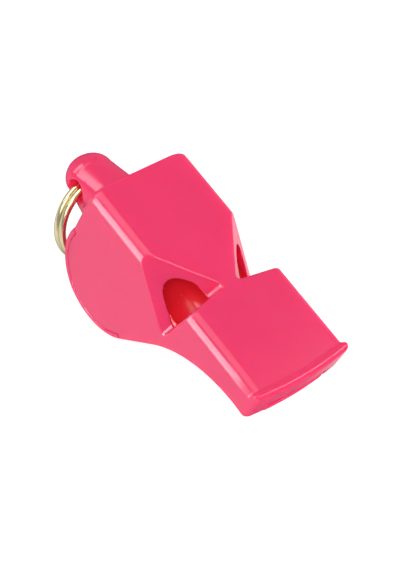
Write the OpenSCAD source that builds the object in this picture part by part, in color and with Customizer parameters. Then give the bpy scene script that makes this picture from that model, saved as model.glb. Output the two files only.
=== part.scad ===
// Pealess sports whistle: a housing with two notched side chambers, a core that
// parts the chambers and the windways, a belly cover, and a split ring in the lug.
// X runs from the lug to the mouth end, Y across the whistle and Z up.
// The origin is the middle of the flat top face. All sizes are in millimetres.

/* [Whistle] */
// Length of the body, from its rear edge to the shoulder of the mouthpiece
body_l = 26.4; // [25.4:0.1:30]
// Length of the mouthpiece, from the shoulder to the tip
mouth_l = 18.2; // [16:0.1:22]
// Width over the flat side faces
width = 20; // [19.6:0.1:24]
// Rounding of the two long top edges
edge_r = 1.9; // [0.5:0.1:2.4]
// Rounding of the rear edges
rear_r = 0.5; // [0.2:0.1:0.9]
// Wall of the sides and of the rear
side_wall = 1.6; // [1.3:0.1:1.8]

/* [Belly] */
// Outer radius of the round belly
belly_r = 10.3; // [9.8:0.1:10.8]
// How far the belly stands out behind the rear edge of the top face
belly_out = 1.6; // [1.2:0.1:2]
// Height of the body, from the lowest point of the belly to the top face
body_h = 25.5; // [24.5:0.1:27]
// Angle of the cover's seam, above the belly's rearmost point
seam_rise = 21.4; // [18:0.1:25]
// Step between the rear wall and the cover at their seam
seam_step = 0.12; // [0.08:0.02:0.2]
// Least thickness of the cover's edge on the side faces
seam_lip = 0.25; // [0.2:0.05:0.5]

/* [Mouthpiece] */
// Thickness of the mouthpiece at its tip
mouth_h = 6.1; // [5.6:0.1:7]
// Angle of the straight underside between the belly and the mouthpiece
slope_a = 49.9; // [47:0.1:53]
// Distance from the tip back to the middle of that hollow
arc_back = 3.8; // [2.5:0.1:5]
// Plan radius of the bowed mouth end
nose_r = 45; // [35:1:80]
// Rounding of the corners of the mouth end
nose_corner_r = 1.5; // [0.8:0.1:2.2]
// Rounding under the mouth end
nose_under_r = 1.9; // [1:0.1:2.4]
// Height of the bite lip above the top face
lip_h = 0.35; // [0.2:0.05:0.6]
// Rounding of the bite lip
lip_r = 0.7; // [0.5:0.05:1]
// Length of the bite lip along the mouthpiece
lip_l = 2; // [1.8:0.1:3]

/* [Notches] */
// Length of a notch along the long edge, from the foot of its ramp to the shoulder
notch_l = 13.8; // [12:0.1:14.6]
// Reach of a notch across the top face
notch_in = 9.4; // [8.4:0.1:9.6]
// Reach of a notch down the side face
notch_drop = 10.5; // [9.6:0.1:11]
// How far the shoulder leans back at the notch's inner end, on the top face
shoulder_in = 0.9; // [0:0.1:1.2]
// How far the shoulder leans back at the notch's lower end, on the side face
shoulder_down = 2.3; // [1:0.1:2.6]
// Hollow rounding between a ramp and the shoulder
notch_r = 0.5; // [0.3:0.1:0.8]
// Width of the neck that the notches leave between them
neck_w = 3.5; // [2.8:0.1:4.4]

/* [Chambers] */
// Radius of the rounded bore of a side chamber
chamber_r = 3.45; // [3.2:0.05:3.5]
// Straight height between the upper and the lower half of a side chamber
chamber_mid = 1; // [0.6:0.1:1.4]
// Wall over the side chambers
roof = 1.5; // [1.3:0.1:1.8]
// Length of the left chamber
chamber_l = 24.6; // [21:0.1:24.7]
// How much shorter the right chamber is, so that the two sound apart
chamber_step = 1.4; // [0:0.1:4]
// Width of the keel between the side chambers, under the roof
keel_w = 8.8; // [8:0.1:9.4]
// Width of that keel at its foot
keel_foot_w = 3.4; // [3.2:0.1:4.2]
// Floor between the side chambers and the belly chamber
deck = 1.2; // [0.9:0.1:1.5]
// Wall of the belly cover
cover_wall = 1; // [0.8:0.1:1.3]

/* [Windways] */
// Width of the blow slot
slot_w = 13; // [12:0.1:14]
// Height of the blow slot
slot_h = 1.5; // [1.2:0.1:1.8]
// Depth of the side windways below the top face, where they leave the mouthpiece
jet_drop = 1.6; // [1.3:0.1:1.9]
// Height of the windways where they leave the mouthpiece
jet_h = 1.1; // [0.8:0.1:1.3]
// Width of the middle windway
mid_jet_w = 5; // [4:0.1:5.6]
// Width of the rib on each side of the middle windway
jet_rib = 1.2; // [0.8:0.1:1.4]
// Distance from the tip back to the point where the windways part
jet_back = 5; // [4:0.1:7]
// Length of the middle window under the belly
window_l = 6.5; // [5:0.1:7]
// Width of the middle window
window_w = 6; // [5.8:0.1:7]
// Angle of the middle window's ramp
window_ramp = 20; // [15:1:35]

/* [Lug] */
// Depth of the lug's middle below the cover's seam
lug_low = 1.1; // [0.8:0.1:1.5]
// Reach of the lug behind the rear edge
lug_l = 12.9; // [12.2:0.1:15]
// Width of the lug
lug_w = 9.8; // [9:0.1:10.6]
// Height of the lug at its rounded tip
lug_tip_h = 8; // [7.4:0.1:8.8]
// Height of the lug where it meets the body
lug_root_h = 12.8; // [11.5:0.1:13.4]
// Distance from the lug's tip to the middle of the ring hole
hole_back = 5.25; // [5:0.05:6]
// Depth of the ring hole below the lug's middle
hole_low = 0.5; // [0.2:0.1:0.8]
// Diameter of the ring hole
hole_d = 4.1; // [3.9:0.1:4.6]
// Softened edge of the ring hole
hole_edge = 0.4; // [0.2:0.1:0.6]

/* [Split ring] */
// Outer diameter of the ring
ring_d = 17; // [16.6:0.1:17.6]
// Diameter of its wire
wire_d = 1.28; // [1.1:0.01:1.3]
// Gap between the two turns
turn_gap = 0.04; // [0.02:0.01:0.1]
// Angle of the ring from hanging straight down, towards the belly
ring_rest = 25.8; // [10:0.1:28]
// Place on the ring where the wire crosses from one turn to the other
cross_at = 62; // [40:1:140]
// Arc over which the wire crosses
cross_arc = 30; // [24:1:44]

/* [Hidden] */
$fn = 96;

pink = [0.94, 0.27, 0.45];
deep_pink = [0.86, 0.18, 0.3];
gold = [0.85, 0.76, 0.52];

// Gap that is left between pieces which are welded together
weld_gap = 0.05;
// Overrun of every cut past the solid that it opens
over = 5;
// Sink of a straight edge into the arc that it runs into
sink = 0.005;
// Angle by which the cover's round part runs on into its straight part
sector_lap = 1;
// How far the cover's front edge stays behind the mouth end
cover_back = 0.35;
// How far the seam's circle lies ahead of the belly's and below it
seam_shift = [0.45, -0.3];
// How far behind the hollow underside the middle window starts
window_lead = 0.8;
// Angle on the ring between a wire's end and the crossing wire beside it
end_gap = 3;
// Thickness of the core's thin edge where the windways part
core_edge = 0.6;

half_w = width / 2;
pocket_w = width - 2 * side_wall;
core_w = pocket_w - 2 * weld_gap;
rear_x = -(body_l + mouth_l) / 2;
shoulder_x = rear_x + body_l;
tip_x = shoulder_x + mouth_l;
front_x = tip_x - side_wall;
nose_mid = [tip_x - nose_r, 0];

belly = [rear_x + belly_r - belly_out, belly_r - body_h];
seam = belly + (belly_r + seam_step) * [-cos(seam_rise), sin(seam_rise)];
seam_r = belly_r - norm(seam_shift) - seam_lip;
under_z = -body_h;

// The straight stretch under the belly, and the hollow underside that it runs into
slope_out = slope_a - 90;
out_dir = [cos(slope_out), sin(slope_out)];
down_dir = [sin(slope_out), -cos(slope_out)];
arc_top = [tip_x - arc_back, -mouth_h];
arc_r = ((arc_top - belly) * out_dir - belly_r) / (1 + sin(slope_out));
arc_mid = arc_top - [0, arc_r];
slope_top = arc_mid - arc_r * out_dir;

// The rear wall's inner face, from the seam up to the parting plane
seam_in = (belly - seam) / norm(belly - seam);
seam_out = atan2(-seam_in[1], -seam_in[0]);
rear_slant = [(rear_x - seam[0]) / -seam[1], 1];
part_z = -roof - chamber_r;
rear_low = seam + side_wall * seam_in;
rear_high = rear_low + (part_z - rear_low[1]) * rear_slant;
deck_z = part_z - chamber_mid - chamber_r - deck;
chamber_y = pocket_w / 2 - chamber_r;

// A notch's corners: where its ramp starts, its inner end and its lower end
notch_start = [shoulder_x - notch_l, half_w, 0];
notch_wall = [shoulder_x, half_w, 0];
notch_top = [shoulder_x - shoulder_in, half_w - notch_in, 0];
notch_foot = [shoulder_x - shoulder_down, half_w, -notch_drop];
notch_run = notch_top - notch_foot;
notch_turn = atan2(-notch_run[1], notch_run[2]);
notch_lean = atan2(notch_run[0], norm([notch_run[1], notch_run[2]]));
ramp_way = notch_way(notch_start);
wall_way = notch_way(notch_wall);
notch_half = acos(ramp_way * wall_way) / 2;

slot_z = -mouth_h + cover_wall + slot_h;
jet_front = tip_x - jet_back;
jet_front_z = -mouth_h + cover_wall + core_edge;
core_back_x = (slope_top + window_lead * down_dir)[0];

lug_end = rear_x - lug_l;
lug_z = seam[1] - lug_low;
hole_x = lug_end + hole_back;
hole_z = lug_z - hole_low;

wire_r = wire_d / 2;
ring_mid_r = ring_d / 2 - wire_r;
turn_x = (wire_d + turn_gap) / 2;
// The ring hangs so that its bowed wire stays inside the hole's wall
ring_bow = ring_mid_r - sqrt(pow(ring_mid_r, 2) - pow(lug_w / 2 - hole_edge, 2));
ring_hang = ring_mid_r - ring_bow / 2;

// Direction from the foot line of a notch to a point, seen along that line
function notch_way(p) =
    let (v = p - notch_top)
    let (y = v[1] * cos(notch_turn) + v[2] * sin(notch_turn))
    let (z = v[2] * cos(notch_turn) - v[1] * sin(notch_turn))
    let (x = v[0] * cos(notch_lean) - z * sin(notch_lean))
    [x, y] / norm([x, y]);

function ceiling_z(x) = -jet_drop + (slot_z + jet_drop) * (x - shoulder_x) / mouth_l;

// Side view spread across the whistle
module across(w) {
    rotate([90, 0, 0])
        linear_extrude(w, center = true)
            children();
}

// Cross-section drawn as Y and Z, spread along X from one station to another
module along(x0, x1) {
    translate([x0, 0, 0])
        rotate([90, 0, 90])
            linear_extrude(x1 - x0)
                children();
}

// Both sides of the whistle
module both_sides() {
    children();
    mirror([0, 1, 0])
        children();
}

// What a rounding takes off a corner: the wedge from angle a0 to a1, less its circle
module corner_waste(r, a0, a1) {
    mid = (a0 + a1) / 2;
    far = r + over;
    difference() {
        polygon([
            [0, 0],
            far * [cos(a0), sin(a0)],
            2 * far * [cos(mid), sin(mid)],
            far * [cos(a1), sin(a1)]
        ]);
        circle(r);
    }
}

// Bar with rounded top edges, between two stations
module rounded_bar(x0, x1, top, r) {
    along(x0, x1)
        difference() {
            translate([-half_w, under_z - over])
                square([width, top - under_z + over]);
            for (side = [0, 1])
                mirror([side, 0])
                    translate([half_w - r, top - r])
                        corner_waste(r, 0, 90);
        }
}

// Side view of the housing, down to the middle of the belly, with the underside
// raised by inset
module upper_outline(inset = 0) {
    a = arc_r + inset;
    difference() {
        polygon([
            [rear_x, lip_h],
            [tip_x, lip_h],
            [tip_x, inset - mouth_h],
            [arc_mid[0], inset - mouth_h],
            arc_mid - (a - sink) * out_dir,
            belly + (belly_r - inset - sink) * out_dir,
            belly,
            seam,
            [rear_x, 0]
        ]);
        translate(arc_mid)
            circle(a, $fn = 240);
        translate([rear_x + rear_r, -rear_r])
            corner_waste(rear_r, 90, 180);
    }
}

// Part of the belly's circle that the cover closes, run past the slope's start by lap
module belly_sector(lap) {
    steps = 4;
    a0 = seam_out + asin(weld_gap / belly_r);
    a1 = 360 + slope_out + lap;
    polygon(concat(
        [belly],
        [for (i = [0:steps])
            let (a = a0 + (a1 - a0) * i / steps)
            belly + 2 * belly_r * [cos(a), sin(a)]]
    ));
}

// Plan view: rounded rear corners and a bowed mouth end with rounded corners
module plan_outline() {
    y = half_w - nose_corner_r;
    reach = nose_r - nose_corner_r;
    x = nose_mid[0] + sqrt(pow(reach, 2) - pow(y, 2));
    difference() {
        translate([seam[0] - belly_r, -half_w])
            square([tip_x - seam[0] + belly_r, width]);
        for (side = [0, 1])
            mirror([0, side])
                translate([x, y])
                    corner_waste(nose_corner_r, asin(y / reach), 90);
    }
}

// Mouth end: bowed front, bite lip on top and a rounding below, as one revolve
module nose() {
    deep = lip_h - under_z + over;
    translate([nose_mid[0], 0, 0])
        rotate_extrude($fn = 360)
            difference() {
                translate([0, lip_h - deep])
                    square([nose_r, deep]);
                polygon([
                    [0, 0],
                    [nose_r - lip_l, 0],
                    [nose_r - lip_r, lip_h],
                    [nose_r - lip_r, lip_h + over],
                    [0, lip_h + over]
                ]);
                translate([nose_r - lip_r, lip_h - lip_r])
                    corner_waste(lip_r, 0, 90);
                translate([nose_r - nose_under_r, nose_under_r - mouth_h])
                    corner_waste(nose_under_r, -90, 0);
            }
}

// Outside of the housing: side view, cross-section and plan view in one
module housing_outside() {
    lip_foot = nose_mid[0] + sqrt(pow(nose_r - lip_l, 2) - pow(half_w, 2));
    intersection() {
        union() {
            across(width)
                upper_outline();
            across(width)
                translate(belly + seam_shift)
                    circle(seam_r);
        }
        union() {
            rounded_bar(seam[0] - belly_r, tip_x, 0, edge_r);
            rounded_bar(lip_foot, tip_x, lip_h, edge_r);
        }
        nose();
        translate([0, 0, under_z - over])
            linear_extrude(lip_h - under_z + 2 * over)
                plan_outline();
    }
}

// Tongue-shaped lug: a blunt cone that side faces and a wedge cut flat
module lug() {
    tip_r = lug_tip_h / 2;
    end_r = lug_w / 2;
    root = [rear_x, lug_root_h / 2];
    wedge_run = lug_l - tip_r;
    wedge_a = atan((root[1] - tip_r) / wedge_run);
    cone_run = lug_l - end_r;
    intersection() {
        union() {
            translate([lug_end + end_r, 0, lug_z])
                sphere(end_r);
            translate([lug_end + end_r, 0, lug_z])
                rotate([0, 90, 0])
                    cylinder(cone_run, end_r - sink, root[1]);
        }
        union() {
            across(lug_w)
                translate([lug_end + tip_r, lug_z])
                    circle(tip_r);
            across(lug_w)
                translate([lug_end + tip_r, lug_z])
                    polygon([
                        (tip_r - sink) * [-sin(wedge_a), cos(wedge_a)],
                        [wedge_run + side_wall, root[1] + side_wall * tan(wedge_a)],
                        [wedge_run + side_wall, -root[1] - side_wall * tan(wedge_a)],
                        (tip_r - sink) * [-sin(wedge_a), -cos(wedge_a)]
                    ]);
        }
    }
}

// Ring hole through the lug, with a softened edge on each side
module ring_hole() {
    translate([hole_x, 0, hole_z])
        rotate([90, 0, 0])
            cylinder(lug_w + 2 * over, d = hole_d, center = true);
    both_sides()
        translate([hole_x, lug_w / 2 - hole_edge, hole_z])
            rotate([-90, 0, 0])
                cylinder(2 * hole_edge, hole_d / 2, hole_d / 2 + 2 * hole_edge);
}

// Drawing seen along the foot line of the right notch, spread along that line
module along_notch() {
    translate(notch_top)
        rotate([notch_turn, 0, 0])
            rotate([0, notch_lean, 0])
                linear_extrude(4 * notch_l, center = true)
                    children();
}

// One notch on the right side: a wedge between ramp and shoulder, round at its foot
module notch() {
    far = 2 * notch_l;
    start = notch_r / tan(notch_half);
    mid = (ramp_way + wall_way) / norm(ramp_way + wall_way);
    difference() {
        along_notch() {
            polygon([
                start * ramp_way,
                far * ramp_way,
                far * mid,
                far * wall_way,
                start * wall_way
            ]);
            translate(notch_r / sin(notch_half) * mid)
                circle(notch_r);
        }
        translate([rear_x, -width, under_z])
            cube([body_l + mouth_l, width + neck_w / 2, 2 * over - under_z]);
    }
}

// What lies ahead of the right shoulder, where no chamber reaches
module shoulder_block() {
    far = 2 * notch_l;
    ahead = [wall_way[1], -wall_way[0]];
    along_notch()
        translate(-weld_gap * ahead)
            polygon([
                far * wall_way,
                far * (wall_way + ahead),
                far * (ahead - wall_way),
                -far * wall_way
            ]);
}

// Keel under the neck, which parts the upper halves of the side chambers
module keel() {
    along(rear_x, shoulder_x)
        polygon([
            [-keel_w / 2, -roof],
            [-keel_w / 2, 0],
            [keel_w / 2, 0],
            [keel_w / 2, -roof],
            [keel_foot_w / 2, part_z],
            [-keel_foot_w / 2, part_z]
        ]);
}

// Space of one side chamber, on the right
module chamber(length) {
    difference() {
        translate([shoulder_x - length, chamber_y, 0]) {
            for (z = [part_z, part_z - chamber_mid])
                translate([0, 0, z])
                    rotate([0, 90, 0])
                        cylinder(length, r = chamber_r);
            translate([0, -chamber_r, part_z - chamber_mid])
                cube([length, 2 * chamber_r, chamber_mid]);
        }
        keel();
        shoulder_block();
    }
}

module both_chambers() {
    chamber(chamber_l - chamber_step);
    mirror([0, 1, 0])
        chamber(chamber_l);
}

// Mouth of the right windway in the shoulder
module jet_mouth() {
    start = notch_top[0] - jet_h / 2;
    translate([start, mid_jet_w / 2 + jet_rib, -jet_drop - jet_h])
        cube([
            shoulder_x - start + weld_gap,
            (slot_w - mid_jet_w) / 2 - jet_rib,
            jet_h
        ]);
}

// Room inside the housing for the core and the cover
module pocket() {
    floor_z = under_z - over;
    across(pocket_w)
        polygon([
            rear_high,
            [shoulder_x, part_z],
            [shoulder_x, -jet_drop],
            [front_x, ceiling_z(front_x)],
            [front_x, floor_z],
            [seam[0] - belly_r, floor_z],
            seam - over * seam_in,
            rear_low
        ]);
    across(slot_w)
        polygon([
            [front_x - sink, ceiling_z(front_x)],
            [tip_x, slot_z],
            [tip_x + over, slot_z],
            [tip_x + over, floor_z],
            [front_x - sink, floor_z]
        ]);
}

module main_body() {
    color(pink)
        difference() {
            union() {
                difference() {
                    housing_outside();
                    pocket();
                }
                difference() {
                    lug();
                    translate([lug_end - over, -width, lug_z - lug_root_h])
                        cube([lug_l + 2 * over, 2 * width, lug_root_h]);
                    across(width)
                        translate(belly)
                            circle(belly_r + weld_gap);
                }
            }
            both_chambers();
            both_sides() {
                notch();
                jet_mouth();
            }
            ring_hole();
        }
}

module chamber_core() {
    block_w = mid_jet_w + 2 * jet_rib;
    color(deep_pink)
        difference() {
            intersection() {
                    across(core_w)
                        upper_outline(cover_wall + weld_gap);
                    union() {
                        across(core_w)
                            polygon([
                                rear_high + [weld_gap, -weld_gap],
                                [shoulder_x, part_z - weld_gap],
                                [shoulder_x, deck_z],
                                rear_high + [weld_gap, 0] + (deck_z - part_z) * rear_slant
                            ]);
                        across(core_w)
                            polygon([
                                [shoulder_x, -jet_drop - jet_h],
                                [jet_front, jet_front_z],
                                [jet_front, under_z],
                                [core_back_x, under_z],
                                [core_back_x, deck_z],
                                [shoulder_x, deck_z]
                            ]);
                        across(block_w)
                            jet_wall();
                        both_sides()
                            translate([0, (slot_w + core_w) / 4, 0])
                                across((core_w - slot_w) / 2)
                                    jet_wall();
                    }
            }
            across(mid_jet_w)
                difference() {
                    upper_outline(0);
                    upper_outline(cover_wall + jet_h);
                }
            both_chambers();
            both_sides()
                notch();
        }
}

// Side view of a wall between two windways, up to their ceiling
module jet_wall() {
    polygon([
        [shoulder_x, -jet_drop - weld_gap],
        [jet_front, ceiling_z(jet_front) - weld_gap],
        [jet_front, jet_front_z],
        [shoulder_x, -jet_drop - jet_h - sink]
    ]);
}

// Middle window under the belly: a shoulder, a gap and a ramp
module window() {
    run = (cover_wall + over) / tan(window_ramp);
    function spot(t, n) = slope_top + t * down_dir + n * out_dir;
    across(window_w)
        polygon([
            spot(window_lead, over),
            spot(window_lead, -cover_wall - weld_gap),
            spot(window_lead + window_l, -cover_wall - weld_gap),
            spot(window_lead + window_l + run, over)
        ]);
}

module lower_cover() {
    color(pink)
        difference() {
            union() {
                intersection() {
                    across(core_w)
                        difference() {
                            upper_outline(0);
                            upper_outline(cover_wall);
                        }
                    translate([nose_mid[0], 0, under_z])
                        cylinder(-under_z, r = nose_r - cover_back, $fn = 360);
                    union() {
                        translate([rear_x, -half_w, under_z])
                            cube([front_x - weld_gap - rear_x, width, -under_z]);
                        translate([rear_x, weld_gap - slot_w / 2, under_z])
                            cube([body_l + mouth_l, slot_w - 2 * weld_gap, -under_z]);
                    }
                }
                across(core_w)
                    intersection() {
                        difference() {
                            translate(belly)
                                circle(belly_r);
                            translate(belly)
                                circle(belly_r - cover_wall);
                        }
                        belly_sector(sector_lap);
                    }
                across(width)
                    intersection() {
                        difference() {
                            translate(belly)
                                circle(belly_r);
                            translate(belly + seam_shift)
                                circle(seam_r + weld_gap);
                        }
                        belly_sector(-sector_lap);
                    }
                difference() {
                    lug();
                    translate([lug_end - over, -width, lug_z - weld_gap])
                        cube([lug_l + 2 * over, 2 * width, lug_root_h]);
                    across(width)
                        translate(belly)
                            circle(belly_r - cover_wall / 2);
                }
            }
            window();
            ring_hole();
        }
}

// Straight wire between two points, with a ball at its start
module wire_link(p, q) {
    run = q - p;
    translate(p)
        sphere(wire_r + sink, $fn = 48);
    translate(p)
        rotate([0, acos(run[2] / norm(run)), atan2(run[1], run[0])])
            cylinder(norm(run), r = wire_r, $fn = 48);
}

module split_ring() {
    half = cross_arc / 2;
    clear = half + end_gap;
    function on_ring(a, x) = [ring_mid_r * cos(a), ring_mid_r * sin(a), x];
    color(gold)
        translate([hole_x, 0, hole_z])
            rotate([0, 90 - ring_rest, 0])
                translate([ring_hang, 0, 0])
                    rotate([0, 0, cross_at]) {
                        translate([0, 0, -turn_x])
                            rotate([0, 0, clear])
                                rotate_extrude(angle = 360 - clear - half)
                                    translate([ring_mid_r, 0])
                                        circle(wire_r, $fn = 48);
                        translate([0, 0, turn_x])
                            rotate([0, 0, half])
                                rotate_extrude(angle = 360 - clear - half)
                                    translate([ring_mid_r, 0])
                                        circle(wire_r, $fn = 48);
                        wire_link(on_ring(-half, -turn_x), on_ring(0, 0));
                        wire_link(on_ring(0, 0), on_ring(half, turn_x));
                        translate(on_ring(half, turn_x))
                            sphere(wire_r + sink, $fn = 48);
                    }
}

main_body();
chamber_core();
lower_cover();
split_ring();
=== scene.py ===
import bpy
import numpy as np
from mathutils import Matrix


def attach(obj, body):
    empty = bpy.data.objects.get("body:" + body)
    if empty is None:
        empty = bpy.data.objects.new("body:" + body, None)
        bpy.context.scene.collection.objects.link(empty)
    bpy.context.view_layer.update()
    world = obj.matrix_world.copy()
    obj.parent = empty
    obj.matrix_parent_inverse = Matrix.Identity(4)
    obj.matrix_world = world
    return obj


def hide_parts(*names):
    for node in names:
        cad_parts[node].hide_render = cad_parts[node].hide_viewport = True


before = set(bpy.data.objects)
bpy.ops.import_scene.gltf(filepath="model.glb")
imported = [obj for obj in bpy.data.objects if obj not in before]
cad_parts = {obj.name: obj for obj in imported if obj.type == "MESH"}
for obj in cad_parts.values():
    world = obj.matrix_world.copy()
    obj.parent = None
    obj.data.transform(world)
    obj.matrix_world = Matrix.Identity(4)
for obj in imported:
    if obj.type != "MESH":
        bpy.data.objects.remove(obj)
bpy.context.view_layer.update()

# Camera and studio.
# The view looks down on the whistle from its left and front, over a bright white floor.
# Lamps that show only in the gloss draw the bands of light along the rounded edges, the
# ring has weaker ones of its own, and wide lamps fill in from the front and the right.

eye = (0.072044, -0.133612, 0.194204)
view_right = (0.5999, 0.7507, 0.2766)
view_up = (-0.7443, 0.3968, 0.5372)
view_back = (0.2936, -0.5282, 0.7968)

lens = bpy.data.cameras.new("studio_camera")
lens.sensor_fit = "VERTICAL"
lens.sensor_height = 36
lens.lens = 97.8
lens.clip_start = 0.01
lens.clip_end = 10
camera = bpy.data.objects.new("studio_camera", lens)
turn = Matrix((view_right, view_up, view_back)).transposed().to_4x4()
camera.matrix_world = Matrix.Translation(eye) @ turn
bpy.context.scene.collection.objects.link(camera)
bpy.context.scene.camera = camera

studio = bpy.data.worlds.new("studio")
studio.use_nodes = True
studio_tree = studio.node_tree
sky = studio_tree.nodes["Background"]
sky.inputs["Color"].default_value = (1, 1, 1, 1)
way = studio_tree.nodes.new("ShaderNodeTexCoord")
split = studio_tree.nodes.new("ShaderNodeSeparateXYZ")
studio_tree.links.new(way.outputs["Generated"], split.inputs["Vector"])


def light_over(source, start, end, first, last):
    """Brightness from first to last as the direction's component goes from start to end."""
    ramp = studio_tree.nodes.new("ShaderNodeMapRange")
    ends = zip(("From Min", "From Max", "To Min", "To Max"), (start, end, first, last))
    for name, value in ends:
        ramp.inputs[name].default_value = value
    studio_tree.links.new(source, ramp.inputs["Value"])
    return ramp.outputs["Result"]


# From below, the light falls off from the left to the right, and from above it is nearly
# even. A pale card low on the right shows in the rounded right edge.
card_way, card_rim, card_middle, card_light = (-0.1, 0.813, -0.574), 0.91, 0.97, 0.7
below = light_over(split.outputs["Y"], -0.65, 0.25, 1.05, 0.15)
above = light_over(split.outputs["Y"], -1, 1, 0.45, 0.42)
from_round = light_over(split.outputs["Z"], -0.25, 0, 0, 1)
studio_tree.links.new(below, from_round.node.inputs["To Min"])
studio_tree.links.new(above, from_round.node.inputs["To Max"])
toward = studio_tree.nodes.new("ShaderNodeVectorMath")
toward.operation = "DOT_PRODUCT"
toward.inputs[1].default_value = card_way
studio_tree.links.new(way.outputs["Generated"], toward.inputs[0])
card = light_over(toward.outputs["Value"], card_rim, card_middle, 0, card_light)
both = studio_tree.nodes.new("ShaderNodeMath")
studio_tree.links.new(from_round, both.inputs[0])
studio_tree.links.new(card, both.inputs[1])
studio_tree.links.new(both.outputs["Value"], sky.inputs["Strength"])
bpy.context.scene.world = studio
bpy.context.scene.view_settings.view_transform = "Standard"

on_plastic = bpy.data.collections.new("on_plastic")
on_metal = bpy.data.collections.new("on_metal")


def soft_box(name, place, size, radiance, along=None, target=(0, 0, -0.01), sees="all",
             lit=None):
    """A rectangular lamp facing from place to target. Its width lies along the given
    direction, or level. Its power is radiance times pi times its area. It can light
    only the gloss or only the diffuse part of a finish, or only one group of pieces."""
    lamp = bpy.data.lights.new(name, "AREA")
    lamp.shape = "RECTANGLE"
    lamp.size, lamp.size_y = size
    lamp.energy = radiance * np.pi * size[0] * size[1]
    holder = bpy.data.objects.new(name, lamp)
    away = np.subtract(place, target)
    away /= np.linalg.norm(away)
    side = np.cross((0, 0, 1), away) if along is None else np.array(along)
    side = side - (side @ away) * away
    side /= np.linalg.norm(side)
    turn = Matrix((side, np.cross(away, side), away)).transposed().to_4x4()
    holder.matrix_world = Matrix.Translation(place) @ turn
    holder.visible_camera = False
    holder.visible_diffuse = sees != "gloss"
    holder.visible_glossy = sees != "diffuse"
    if lit:
        holder.light_linking.receiver_collection = lit
    bpy.context.scene.collection.objects.link(holder)


strip_place, strip_size = (-0.236, -0.125, 0.136), (0.242, 0.095)
strip_way = (-0.04, 0.563, 0.461)

soft_box("near_lamp", (-0.015, -0.046, -0.004), (0.048, 0.046), 9, along=(1, 0, 0),
         target=(-0.015, 0, -0.004), sees="gloss", lit=on_plastic)
soft_box("strip_lamp", strip_place, strip_size, 5.5, along=strip_way, sees="gloss",
         lit=on_plastic)
soft_box("ring_strip", strip_place, strip_size, 2.0, along=strip_way, sees="gloss",
         lit=on_metal)
soft_box("ring_near", (-0.02, -0.05, 0.024), (0.05, 0.04), 2.0, along=(1, 0, 0),
         target=(-0.03, 0, -0.014), sees="gloss", lit=on_metal)
soft_box("overhead_box", (-0.21, -0.12, 0.45), (0.56, 0.3), 2.0, along=(0, 1, 0))
soft_box("zenith_box", (0.115, -0.107, 0.475), (0.14, 0.14), 8, sees="gloss",
         lit=on_plastic)
soft_box("rear_box", (0, 0.274, 0.396), (0.12, 0.1), 7, sees="gloss", lit=on_plastic)
soft_box("fill_front", (0.176, -0.317, 0.478), (0.2, 0.2), 9, sees="diffuse")
soft_box("fill_right", (0.3, 0.42, 0.06), (0.5, 0.16), 9, sees="diffuse")


def plain_mesh(name, corners, faces):
    """A mesh object at the origin from corner places in metres and faces as lists of
    corner numbers."""
    mesh = bpy.data.meshes.new(name)
    mesh.from_pydata(np.asarray(corners).tolist(), [], faces)
    piece = bpy.data.objects.new(name, mesh)
    bpy.context.scene.collection.objects.link(piece)
    return piece


def finish_of(name, colour, roughness):
    """A Principled material of one colour, its node tree and its shader node."""
    material = bpy.data.materials.new(name)
    material.use_nodes = True
    shader = material.node_tree.nodes["Principled BSDF"]
    shader.inputs["Base Color"].default_value = (*colour, 1)
    shader.inputs["Roughness"].default_value = roughness
    return material, material.node_tree, shader


floor_z, floor_half = -0.0276, 1.5
floor_sides = ((-1, -1), (1, -1), (1, 1), (-1, 1))
floor = plain_mesh(
    "floor",
    [(floor_half * x, floor_half * y, floor_z) for x, y in floor_sides],
    [(0, 1, 2, 3)],
)
floor_white, _, shader = finish_of("floor_white", (0.45, 0.45, 0.45), 1)
shader.inputs["Specular IOR Level"].default_value = 0
shader.inputs["Emission Color"].default_value = (1, 1, 1, 1)
shader.inputs["Emission Strength"].default_value = 0.78
floor.data.materials.append(floor_white)
floor.visible_glossy = False

# Housing.
# The main piece, injection moulded in glossy pink plastic: top face, side faces, rear
# wall, upper half of the lug, the mouthpiece's top plate and the roofs of the two side
# chambers. The core and the cover are welded into it from below.

# Lengths are in millimetres up to the finished mesh, and mm turns them into metres.
mm = 0.001
weld = 0.05
half_w = 10
rear_x, shoulder_x, tip_x = -22.3, 4.1, 22.3
edge_r, nose_r, nose_corner_r, nose_under_r, foot_r = 1.9, 73, 1.05, 1.0, 0.3
rear_r, rear_corner_r, corner_from, corner_run = 0.4, 1.15, 6.6, 2.6
rear_lean = 1 / 11.4
belly_r, belly, belly_edge = 10.3, (-13.6, -15.2), 0.1
seam_from, slope_out = np.radians(158.6), np.radians(-40.1)
seam_mid, seam_r, seam_reach = (-10.96, -14.44), 11.84, 9.35
seam_blend, seam_edge = 1, 0.2
mouth_h, arc_x, under_drop = 6.1, 18.5, 0.072
out_x, out_z = np.cos(slope_out), np.sin(slope_out)
arc_r = ((arc_x - belly[0]) * out_x + (-mouth_h - belly[1]) * out_z - belly_r) / (
    1 + out_z
)
arc_mid = (arc_x, -mouth_h - arc_r)
slope_top = (arc_mid[0] - arc_r * out_x, arc_mid[1] - arc_r * out_z)


def soft_or(a, b, r):
    """Union of two distance fields, with a hollow fillet of radius r where they meet."""
    return np.maximum(r, np.minimum(a, b)) - np.hypot(
        np.maximum(r - a, 0), np.maximum(r - b, 0)
    )


def soft_and(a, b, r):
    """Overlap of two distance fields, with a rounding of radius r on the edge."""
    return -soft_or(-a, -b, r)


def eased(t):
    """Smooth step: t held between 0 and 1, then three t squared less two t cubed."""
    t = np.clip(t, 0, 1)
    return t * t * (3 - 2 * t)


def span(v, low, high):
    """Distance outside the stretch from low to high."""
    return np.abs(v - (low + high) / 2) - (high - low) / 2


def down_slope(x, z):
    """Distance down the straight slope from its upper end towards the belly."""
    return (x - slope_top[0]) * out_z - (z - slope_top[1]) * out_x


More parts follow.
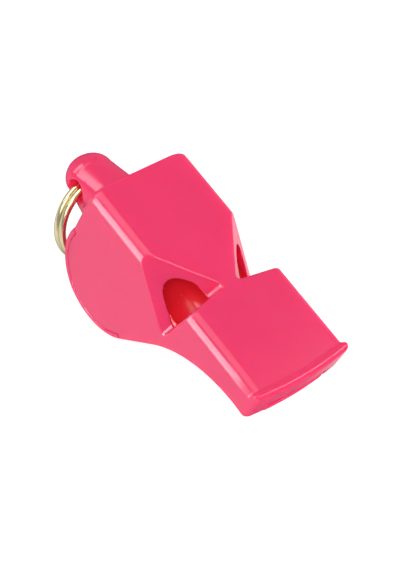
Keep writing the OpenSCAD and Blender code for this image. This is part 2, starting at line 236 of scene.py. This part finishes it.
def underside(x, z):
    """Distance below the straight slope, the hollow arc or the flat end ahead of it."""
    slope = (x - belly[0]) * out_x + (z - belly[1]) * out_z - belly_r
    arc = arc_r - np.hypot(x - arc_mid[0], z - arc_mid[1])
    flat = under_drop * (arc_x - x) - mouth_h - z
    return np.where(down_slope(x, z) > 0, slope, np.where(x > arc_x, flat, arc))


def belly_sector(x, z, back, ahead):
    """Distance outside the wedge between the seam's ray and the slope's ray, each
    moved out by back and ahead."""
    dx, dz = x - belly[0], z - belly[1]
    rear = -np.sin(seam_from) * dx + np.cos(seam_from) * dz
    front = out_z * dx - out_x * dz
    return np.maximum(-rear - back, -front - ahead)


def seam_at(x, z):
    """Distance outside the seam of the belly: a flat arc at the rear that runs into a
    circle round the belly's middle."""
    rear = np.hypot(x - seam_mid[0], z - seam_mid[1]) - seam_r
    ahead = np.hypot(x - belly[0], z - belly[1]) - seam_reach
    return soft_and(rear, ahead, seam_blend)


def nose_share(x, ay):
    """From 0 along the side faces to 1 along the bowed mouth end, and the distance
    ahead of that end."""
    front = np.hypot(x - tip_x + nose_r, ay) - nose_r
    share = eased((front - (ay - half_w) + nose_corner_r) / (2 * nose_corner_r))
    return share, front


lip_h, lip_r, lip_blend, front_lean = 0.31, 0.7, 0.45, 0.057
knob_r, knob_from, knob_run, lip_edge_r = 0.55, 1.9, 1.0, 0.12


def shell_of_housing(x, y, z):
    """Flat top with a bite lip, rounded into the plan outline, over the side view. The
    rounding shrinks towards the lip, and grows at the rear corners."""
    ay = np.abs(y)
    share, front = nose_share(x, ay)
    lip = np.hypot(front + lip_r, z + lip_r - lip_h) - lip_r
    top = soft_or(z, lip, lip_blend)
    front = front + front_lean * np.maximum(-z - lip_r, 0)
    plan = soft_and(front, ay - half_w, nose_corner_r)
    near = eased((front + knob_from) / knob_run)
    rounding = edge_r + (knob_r - edge_r) * near + (lip_edge_r - knob_r) * share
    upper = soft_and(top, plan, rounding)
    rear = rear_x + rear_lean * z - x
    out = eased((ay - corner_from) / corner_run)
    upper = soft_and(upper, rear, rear_r + (rear_corner_r - rear_r) * out)
    under = soft_and(underside(x, z), -belly_sector(x, z, weld, weld), belly_edge)
    whole = soft_and(upper, under, foot_r + (nose_under_r - foot_r) * share)
    disc = soft_and(seam_at(x, z), ay - half_w, seam_edge)
    return np.minimum(whole, disc)


lug_l, lug_tip_h, lug_root_h, lug_w, lug_z = 12.7, 7.6, 12.8, 9.0, -12.5
lug_flare, lug_tip_square, lug_root_square = 0.04, 2.1, 3.2
lug_sunk, lug_root_r, lug_part_r = 0.5, 0.4, 0.06
hole_x, hole_z, hole_r, hole_edge, hole_rim = -29.7, -12.8, 2.1, 0.55, 0.12


def lug_form(x, y, z):
    """A tongue that grows from a rounded tip to its root, less its hole. Its
    cross-section is a rounded oblong: the powers of width and height add up to one, and
    the power grows from near an oval's at the tip to a squarer one at the root."""
    az = np.abs(z - lug_z)
    tip_r = lug_tip_h / 2
    tip_mid = rear_x - lug_l + tip_r
    pitch = (lug_root_h - lug_tip_h) / 2 / (lug_l - tip_r)
    high = tip_r + pitch * np.maximum(x - tip_mid, 0)
    wide = lug_w / 2 + lug_flare * np.maximum(x - tip_mid, 0)
    back = np.minimum(x - tip_mid, 0) / tip_r
    power = np.clip((x - tip_mid) / (rear_x - tip_mid), 0, 1)
    power = lug_tip_square + (lug_root_square - lug_tip_square) * power
    across = (np.abs(y) / wide) ** power + (az / high) ** power
    reach = (across ** (2 / power) + back**2) ** 0.5
    bore = hole_r - np.hypot(x - hole_x, z - hole_z)
    return soft_and((reach - 1) * tip_r, bore, hole_edge)


notch_start = np.array((-9.7, 10.0, 0.0))
notch_wall = np.array((4.05, 10.0, 0.0))
notch_top = np.array((2.52, 1.09, 0.0))
notch_foot = np.array((1.65, 10.0, -10.4))
under_ramp, ahead_of_wall = np.array((0, 0, -9.0)), np.array((20, 5, -1.0))
neck_half, notch_r, neck_r = 1.4, 0.85, 0.6
ramp_edge, shoulder_edge, chamber_edge = 0.2, 0.45, 0.22
share_run, share_start = 0.8, 0.3
thin_from, thin_least = 9.7, 0.2


def plane_through(a, b, c, behind):
    """Unit normal and offset of the plane through a, b and c, facing away from behind."""
    normal = np.cross(b - a, c - a)
    normal /= np.linalg.norm(normal)
    normal *= -np.sign(normal @ (behind - a))
    return normal, normal @ a


ramp_plane = plane_through(notch_start, notch_top, notch_foot, under_ramp)
wall_plane = plane_through(notch_wall, notch_top, notch_foot, ahead_of_wall)


def beyond(plane, x, ay, z):
    """Signed distance to a plane, positive on the side that its normal points to."""
    normal, offset = plane
    return normal[0] * x + normal[1] * ay + normal[2] * z - offset


def notch_space(x, ay, z):
    """Space of a notch: over the ramp, behind the shoulder and outside the neck, and
    how far a place belongs to the shoulder, from 0 to 1."""
    ramp = -beyond(ramp_plane, x, ay, z)
    wall = -beyond(wall_plane, x, ay, z)
    share = np.clip((wall - ramp) / share_run + share_start, 0, 1)
    space = soft_and(soft_and(ramp, wall, notch_r), neck_half - ay, neck_r)
    return space, share


chamber_r, chamber_y, part_z, chamber_mid = 3.45, 4.95, -4.95, 1.0
left_length, right_length = 24.6, 23.2
keel_top, keel_foot, no_keel = (4.4, -1.5), (1.7, -4.95), -9
keel_edge, chamber_end_r, mouth_edge = 0.15, 0.4, 0.05


def chamber_space(x, y, z):
    """Space of a side chamber: a bore between two levels, beside the keel, up to the
    shoulder."""
    ay = np.abs(y)
    level = np.clip(z, part_z - chamber_mid, part_z)
    bore = np.hypot(ay - chamber_y, z - level) - chamber_r
    run = np.subtract(keel_top, keel_foot)
    length = np.hypot(*run)
    keel = -((ay - keel_foot[0]) * run[1] - (z - keel_foot[1]) * run[0]) / length
    end = shoulder_x - np.where(y < 0, left_length, right_length) - x
    wall = -beyond(wall_plane, x, ay, z)
    space = soft_and(bore, np.where(z > part_z, keel, no_keel), keel_edge)
    return soft_and(soft_and(space, end, chamber_end_r), wall, mouth_edge)


pocket_half, pocket_past, pocket_edge, pocket_rim = 8.4, 0.2, 0.3, 0.12
ceiling_drop, slot_z, slot_half, slot_back = 1.6, -3.6, 6.5, 1
front_x, rear_wall = 20.7, 1.6


def ceiling_at(x):
    """Level of the windways' ceiling, on a straight line from the shoulder to the tip."""
    run = (x - shoulder_x) / (tip_x - shoulder_x)
    return -ceiling_drop + (slot_z + ceiling_drop) * run


def pocket_space(x, ay, z):
    """Room for the core behind the shoulder and ahead of it, and the blow slot."""
    rear = rear_x + rear_wall + rear_lean * z - x
    behind = np.maximum(z - part_z, np.maximum(rear, x - shoulder_x - pocket_past))
    ahead = np.maximum(z - ceiling_at(x), shoulder_x - x)
    room = np.minimum(behind, np.maximum(ahead, x - front_x))
    room = soft_and(room, ay - pocket_half, pocket_edge)
    slot = np.maximum(np.maximum(ahead, front_x - slot_back - x), ay - slot_half)
    return soft_or(room, slot, 0)


jet_low, jet_high, jet_inner, jet_outer = -2.7, -1.6, 3.7, 6.5
jet_back, jet_ahead, jet_edge = shoulder_x - 1.5, shoulder_x + 0.5, 0.08


def housing_field(x, y, z):
    """Shell with its lug, less the pocket, the notches, the chambers and the jets."""
    ay = np.abs(y)
    body = soft_and(shell_of_housing(x, y, z), -pocket_space(x, ay, z), pocket_rim)
    past_belly = belly_r + weld - np.hypot(x - belly[0], z - belly[1])
    lug = soft_and(lug_form(x, y, z), lug_z - z, lug_part_r)
    lug = np.maximum(np.maximum(lug, past_belly), x - rear_x - lug_sunk)
    body = soft_or(body, lug, lug_root_r)
    notch, share = notch_space(x, ay, z)
    edge = ramp_edge * np.clip(thin_from - ay, thin_least, 1)
    body = soft_and(body, -notch, edge + (shoulder_edge - edge) * share)
    body = soft_and(body, -chamber_space(x, y, z), chamber_edge)
    jet = np.maximum(span(z, jet_low, jet_high), span(ay, jet_inner, jet_outer))
    jet = np.maximum(jet, span(x, jet_back, jet_ahead))
    return soft_and(body, -jet, jet_edge)


def graded(*stretches):
    """Grid stations from (start, end, step) stretches laid end to end."""
    runs = [
        np.linspace(a, b, max(1, round((b - a) / step)), endpoint=False)
        for a, b, step in stretches
    ]
    return np.append(np.concatenate(runs), stretches[-1][1])


def slope_of(field, p, h=0.004):
    """Gradient of the field at the points: the difference over h either side along each
    axis, over two h."""
    steps = [field(*(p + d).T) - field(*(p - d).T) for d in h * np.eye(3)]
    return np.stack(steps, axis=1) / (2 * h)


def cells_round(edge, axis):
    """The four grid cells that share each grid edge along the axis, in turning order."""
    u, v = (axis + 1) % 3, (axis + 2) % 3
    for du, dv in ((0, 0), (1, 0), (1, 1), (0, 1)):
        cell = edge.copy()
        cell[:, u] -= du
        cell[:, v] -= dv
        yield cell


draws, steepest, tiny = 4, 0.05, 1e-12
crease, same_way, true_way = np.cos(np.radians(24)), 0.9, 0.8


def moulding(name, field, xs, ys, zs):
    """Closed surface where the field is zero. Each grid cell that the surface crosses
    gets one corner, at the mean of its edge crossings and then drawn onto the surface
    along the gradient; each crossed grid edge joins its four cells by one face. A face's
    corner normals are the gradient at the corner, or at the face's middle on a crease.
    The attribute in_bore is 1 in the lug's hole and 0 elsewhere, and masks the painted glow
    there."""
    value = field(*np.meshgrid(xs, ys, zs, indexing="ij", sparse=True))
    inside = value < 0
    shape = tuple(n - 1 for n in value.shape)
    total = np.zeros((*shape, 3))
    count = np.zeros(shape)
    stations = (xs, ys, zs)
    crossed = []
    for axis in range(3):
        lo = [slice(None)] * 3
        hi = [slice(None)] * 3
        lo[axis], hi[axis] = slice(None, -1), slice(1, None)
        lo, hi = tuple(lo), tuple(hi)
        hit = np.argwhere(inside[lo] != inside[hi])
        ahead = hit + np.eye(3, dtype=int)[axis]
        a, b = value[tuple(hit.T)], value[tuple(ahead.T)]
        place = np.stack([stations[k][hit[:, k]] for k in range(3)], axis=1)
        step = stations[axis][ahead[:, axis]] - stations[axis][hit[:, axis]]
        place[:, axis] += a / (a - b) * step
        for cell in cells_round(hit, axis):
            good = ((cell >= 0) & (cell < shape)).all(1)
            np.add.at(total, tuple(cell[good].T), place[good])
            np.add.at(count, tuple(cell[good].T), 1)
        crossed.append((axis, hit, inside[lo][tuple(hit.T)]))
    used = count > 0
    number = -np.ones(shape, int)
    number[used] = np.arange(used.sum())
    points = total[used] / count[used][:, None]
    cells = np.argwhere(used)
    reach = np.stack(
        [np.diff(stations[k])[cells[:, k]] for k in range(3)], axis=1
    ).min(1)
    for _ in range(draws):
        slope = slope_of(field, points)
        size = np.maximum((slope**2).sum(1), steepest)
        move = -(field(*points.T) / size)[:, None] * slope
        far = np.maximum(np.linalg.norm(move, axis=1), tiny)
        points += move * np.minimum(1, reach / 2 / far)[:, None]
    faces = []
    for axis, hit, out in crossed:
        quad = np.stack([number[tuple(c.T)] for c in cells_round(hit, axis)], axis=1)
        quad[~out] = quad[~out][:, ::-1]
        faces.append(quad)
    faces = np.concatenate(faces)
    piece = plain_mesh(name, points * mm, faces.tolist())
    slope = slope_of(field, points)
    slope /= np.linalg.norm(slope, axis=1)[:, None]
    corners = points[faces]
    flat = np.cross(corners[:, 2] - corners[:, 0], corners[:, 3] - corners[:, 1])
    flat /= np.maximum(np.linalg.norm(flat, axis=1), tiny)[:, None]
    own = slope_of(field, corners.mean(1))
    own /= np.maximum(np.linalg.norm(own, axis=1), tiny)[:, None]
    normals = slope[faces]
    even = ((normals * own[:, None]).sum(2) > same_way).all(1)
    own = np.where(((own * flat).sum(1) > true_way)[:, None], own, flat)
    sharp = ((normals * own[:, None]).sum(2) < crease) & ~even[:, None]
    normals = np.where(sharp[:, :, None], own[:, None], normals).reshape(-1, 3)
    piece.data.polygons.foreach_set("use_smooth", np.ones(len(faces), bool))
    piece.data.normals_split_custom_set(normals.tolist())
    from_axis = np.hypot(points[:, 0] - hole_x, points[:, 2] - hole_z)
    painted_glow = piece.data.attributes.new("in_bore", "FLOAT", "POINT")
    painted_glow.data.foreach_set("value", (from_axis < hole_r + hole_rim).astype(float))
    return piece


def grain(tree, size, detail):
    """Noise on the object's own coordinates, with clumps of about size metres."""
    place = tree.nodes.new("ShaderNodeTexCoord")
    noise = tree.nodes.new("ShaderNodeTexNoise")
    noise.inputs["Scale"].default_value = 1 / size
    noise.inputs["Detail"].default_value = detail
    tree.links.new(place.outputs["Object"], noise.inputs["Vector"])
    return noise.outputs["Fac"]


grain_low, grain_high = 0.3, 0.7


def spread_over(tree, source, low, high):
    """A number from low to high as the source goes over the usual range of the noise."""
    scale = tree.nodes.new("ShaderNodeMapRange")
    scale.inputs["From Min"].default_value = grain_low
    scale.inputs["From Max"].default_value = grain_high
    scale.inputs["To Min"].default_value = low
    scale.inputs["To Max"].default_value = high
    tree.links.new(source, scale.inputs["Value"])
    return scale.outputs["Result"]


def blend_of(tree, source, colours):
    """A colour between two as the source goes over the usual range of the noise."""
    ramp = tree.nodes.new("ShaderNodeValToRGB")
    stops = ramp.color_ramp.elements
    for stop, at, colour in zip(stops, (grain_low, grain_high), colours):
        stop.position = at
        stop.color = (*colour, 1)
    tree.links.new(source, ramp.inputs["Fac"])
    return ramp.outputs["Color"]


def vary(tree, shader, clouds, colours, specks, roughness):
    """Colour that drifts between two in clouds, and roughness that goes between two from
    speck to speck. Clouds and specks are each a size in metres and a level of detail."""
    colour = blend_of(tree, grain(tree, *clouds), colours)
    tree.links.new(colour, shader.inputs["Base Color"])
    rough = spread_over(tree, grain(tree, *specks), *roughness)
    tree.links.new(rough, shader.inputs["Roughness"])


def ripple(tree, shader, source, height):
    """Bump of the given height in metres from the source."""
    bump = tree.nodes.new("ShaderNodeBump")
    bump.inputs["Strength"].default_value = 1
    bump.inputs["Distance"].default_value = height
    tree.links.new(source, bump.inputs["Height"])
    tree.links.new(bump.outputs["Normal"], shader.inputs["Normal"])


# Stations lie close together where an edge, a fillet or the bead of the lip needs them.
housing = moulding(
    "housing",
    housing_field,
    graded((-35.5, -26, 0.3), (-26, -23.6, 0.4), (-23.6, -21.4, 0.22),
           (-21.4, -10.5, 0.45), (-10.5, 4.6, 0.22), (4.6, 19, 0.45), (19, 20.6, 0.2),
           (20.6, 22.5, 0.11)),
    graded((-10.1, -9.7, 0.1), (-9.7, -7.6, 0.18), (-7.6, -1, 0.25), (-1, 1, 0.35),
           (1, 7.6, 0.25), (7.6, 9.7, 0.18), (9.7, 10.1, 0.1)),
    graded((-25.2, -12, 0.45), (-12, -7, 0.28), (-7, -2.2, 0.24), (-2.2, -0.8, 0.16),
           (-0.8, 0.5, 0.11)),
)
pink, tree, shader = finish_of("pink_plastic", (0.87, 0.042, 0.15), 0.16)
shader.inputs["Subsurface Weight"].default_value = 0.6
shader.inputs["Subsurface Radius"].default_value = (1, 0.08, 0.12)
shader.inputs["Subsurface Scale"].default_value = 0.003
shader.inputs["Specular IOR Level"].default_value = 0.45
plastic_specks, plastic_dimples, dimple_height = (0.0011, 4), (0.0016, 1), 0.000004
vary(tree, shader, (0.009, 2), ((0.85, 0.038, 0.152), (0.83, 0.034, 0.142)),
     plastic_specks, (0.13, 0.19))
ripple(tree, shader, grain(tree, *plastic_dimples), dimple_height)
# Painted glow: a faint emission, masked to the lug's hole, stands in for light that comes
# through the thin walls of the lug.
shader.inputs["Emission Color"].default_value = (0.9, 0.03, 0.06, 1)
painted_glow_mask = tree.nodes.new("ShaderNodeAttribute")
painted_glow_mask.attribute_name = "in_bore"
painted_glow = spread_over(tree, painted_glow_mask.outputs["Fac"], 0, 0.2)
tree.links.new(painted_glow, shader.inputs["Emission Strength"])
housing.data.materials.append(pink)
on_plastic.objects.link(housing)
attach(housing, "whistle")
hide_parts("main_body")

# Core.
# The inner moulding of deeper red plastic, welded in between the housing and the cover:
# lower halves of the side chambers, the floor over the belly chamber, the wedge and the
# ribs between the windways.

core_half, deck_low, cover_wall, jet_half = 8.35, -10.6, 1.0, 2.5
wedge_back, wedge_front, wedge_front_z = -0.05, 17.3, -4.5
core_edge, rib_edge, core_cut = 0.1, 0.08, 0.15


def core_field(x, y, z):
    """A deck behind the shoulder and a wedge ahead of it, with four ribs up to the
    ceiling of the windways, less the chambers, the notches and the middle windway."""
    ay = np.abs(y)
    rear = rear_x + rear_wall + weld + rear_lean * z - x
    deck = np.maximum(z - part_z + weld, np.maximum(rear, x - shoulder_x))
    deck = soft_and(deck, deck_low - z, core_edge)
    run = (x - shoulder_x) / (wedge_front - shoulder_x)
    face = z - jet_low + (jet_low - wedge_front_z) * run
    wedge = np.maximum(face, np.maximum(wedge_back - x, x - wedge_front))
    rib = np.maximum(shoulder_x - x, x - wedge_front)
    rib = np.maximum(z - ceiling_at(x) + weld, rib)
    middle = soft_and(rib, ay - jet_inner, rib_edge)
    rail = soft_and(rib, slot_half - ay, rib_edge)
    body = soft_or(np.minimum(deck, wedge), np.minimum(middle, rail), core_edge)
    under = underside(x, z)
    body = soft_and(body, under + cover_wall + weld, rib_edge)
    body = soft_and(body, ay - core_half, core_edge)
    body = soft_and(body, -chamber_space(x, y, z), core_cut)
    body = soft_and(body, -notch_space(x, ay, z)[0], core_cut)
    windway = np.maximum(ay - jet_half, -under - cover_wall - jet_high + jet_low)
    return soft_and(body, -windway, rib_edge)


core = moulding(
    "chamber_core_moulding",
    core_field,
    graded((-21.6, 5, 0.33), (5, 17.8, 0.4)),
    graded((-8.6, 8.6, 0.2)),
    graded((-14.6, -10.9, 0.3), (-10.9, -1.2, 0.22)),
)
core_red, tree, shader = finish_of("core_plastic", (0.88, 0.03, 0.09), 0.2)
# Painted glow: a faint even red emission lightens the whole core, which shows inside the
# chambers.
shader.inputs["Emission Color"].default_value = (0.9, 0.03, 0.05, 1)
shader.inputs["Emission Strength"].default_value = 0.04
vary(tree, shader, (0.008, 2), ((0.86, 0.02, 0.04), (0.83, 0.016, 0.034)),
     plastic_specks, (0.2, 0.28))
ripple(tree, shader, grain(tree, *plastic_dimples), dimple_height)
core.data.materials.append(core_red)
on_plastic.objects.link(core)
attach(core, "whistle")
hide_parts("chamber_core")

# Cover.
# The belly cover of the same pink plastic, welded under the housing: round belly wall,
# hollow underside, lower lip of the blow slot and lower half of the lug.

cover_half, cover_edge, lip_back, lip_under_r = 8.35, 0.08, 0.36, 0.3
belt_r, belt_rear_r, belt_from, belt_run = 0.3, 0.9, 19, 4
cover_lug_sunk, cover_lug_r, no_tail = 1, 0.3, -5
window_from, window_to, window_half, window_pitch = 0.8, 7.3, 3.0, np.radians(20)
window_back, window_ahead, window_edge = -10, 14, 0.12


def cover_field(x, y, z):
    """A plate under the slope and arc, a belt round the belly and half the lug, less
    the window over the middle chamber."""
    ay = np.abs(y)
    ray = np.hypot(x - belly[0], z - belly[1]) - belly_r
    deep = underside(x, z)
    outer = np.where(belly_sector(x, z, 0, 0) < 0, ray, deep)
    plate = soft_and(outer, -outer - cover_wall, cover_edge)
    tail = np.where(x < belly[0], belly_sector(x, z, -weld, 0), no_tail)
    plate = np.maximum(plate, tail)
    half = np.where(x < front_x - weld, cover_half, slot_half - weld)
    plate = soft_and(plate, ay - half, cover_edge)
    front = np.hypot(x - tip_x + nose_r, ay) - nose_r + lip_back
    plate = soft_and(plate, front, lip_under_r)
    rearward = np.clip((-x - belt_from) / belt_run, 0, 1)
    belt = soft_and(ray, ay - half_w, belt_r + (belt_rear_r - belt_r) * rearward)
    belt = np.maximum(belt, belly_sector(x, z, -weld, -2 * weld))
    belt = soft_and(belt, weld - seam_at(x, z), seam_edge)
    lug = soft_and(lug_form(x, y, z), z - lug_z + weld, lug_part_r)
    lug = np.maximum(lug, x - rear_x - cover_lug_sunk)
    lug = np.maximum(lug, -ray - cover_wall / 2)
    body = soft_or(np.minimum(plate, belt), lug, cover_lug_r)
    along = down_slope(x, z)
    face = (along - window_to) * np.sin(window_pitch)
    face = face - (deep + cover_wall) * np.cos(window_pitch)
    gap = np.maximum(np.maximum(window_from - along, ay - window_half), face)
    gap = np.maximum(gap, span(x, window_back, window_ahead))
    return soft_and(body, -gap, window_edge)


cover = moulding(
    "belly_cover",
    cover_field,
    graded((-35.5, -25, 0.3), (-25, -4, 0.2), (-4, 18, 0.4), (18, 22.5, 0.2)),
    graded((-10.15, -9.3, 0.1), (-9.3, -7.6, 0.2), (-7.6, 7.6, 0.45), (7.6, 9.3, 0.2),
           (9.3, 10.15, 0.1)),
    graded((-25.7, -10, 0.2), (-10, -3, 0.3)),
)
cover.data.materials.append(pink)
on_plastic.objects.link(cover)
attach(cover, "whistle")
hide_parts("lower_cover")

# Split ring.
# Two turns of spring wire plated in pale gold, side by side, that cross over near the
# top. The ring is threaded through the hole of the lug and hangs in it.

ring_d, wire_d, turn_gap, lug_hold = 17.0, 1.28, 0.04, 4.5
swing_x, swing_z = -29.95, -13.0
ring_rest, cross_at, cross_arc, end_gap = np.radians((25.8, 62, 30, 3))
wire_r = wire_d / 2
ring_mid_r = ring_d / 2 - wire_r
ring_bow = ring_mid_r - np.sqrt(ring_mid_r**2 - lug_hold**2)
ring_hang = ring_mid_r - ring_bow / 2
turns, wire_round = 520, 28

# The wire's middle runs round the ring's circle twice, and shifts by one wire's width
# over the crossing. The wire's circle is carried along it.
start = cross_arc / 2 + end_gap
angle = np.linspace(start, 4 * np.pi - start, turns)
shift = eased((angle - 2 * np.pi) / cross_arc + 0.5)
lane = (wire_d + turn_gap) * (shift - 0.5)
ring_angle = angle + cross_at
outward = np.stack([np.cos(ring_angle), np.sin(ring_angle), 0 * lane], axis=1)
path = ring_mid_r * outward
path[:, 2] = lane
ahead = np.gradient(path, axis=0)
ahead /= np.linalg.norm(ahead, axis=1)[:, None]
sideways = np.cross(ahead, outward)
wire_angle = np.linspace(0, 2 * np.pi, wire_round, endpoint=False)[None, :, None]
spread = np.cos(wire_angle) * outward[:, None] + np.sin(wire_angle) * sideways[:, None]
tube = (path[:, None] + wire_r * spread).reshape(-1, 3)
local = np.concatenate([tube, path[[0, -1]]]) + (ring_hang, 0, 0)

# The ring leans in the plane across the hole, turned about the swing axis.
lean = np.pi / 2 - ring_rest
ring_place = np.stack(
    [
        swing_x + local[:, 0] * np.cos(lean) + local[:, 2] * np.sin(lean),
        local[:, 1],
        swing_z - local[:, 0] * np.sin(lean) + local[:, 2] * np.cos(lean),
    ],
    axis=1,
)
row = np.arange(turns - 1)[:, None] * wire_round
col = np.arange(wire_round)[None]
following = (col + 1) % wire_round
quads = np.stack(
    [row + col, row + wire_round + col, row + wire_round + following, row + following],
    axis=-1,
).reshape(-1, 4)
first = np.arange(wire_round)
last = first + (turns - 1) * wire_round
faces = quads.tolist()
faces += [[len(tube), int(a), int(b)] for a, b in zip(first, np.roll(first, -1))]
faces += [[len(tube) + 1, int(b), int(a)] for a, b in zip(last, np.roll(last, -1))]
ring = plain_mesh("split_ring_wire", ring_place * mm, faces)
ring.data.polygons.foreach_set("use_smooth", np.ones(len(faces), bool))
gold, tree, shader = finish_of("pale_gold", (0.78, 0.66, 0.40), 0.18)
shader.inputs["Metallic"].default_value = 1
vary(tree, shader, (0.002, 3), ((0.76, 0.67, 0.41), (0.66, 0.57, 0.34)), (0.0005, 4),
     (0.06, 0.16))
ripple(tree, shader, grain(tree, 0.0004, 3), 0.000003)
ring.data.materials.append(gold)
on_metal.objects.link(ring)
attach(ring, "ring")
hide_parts("split_ring")
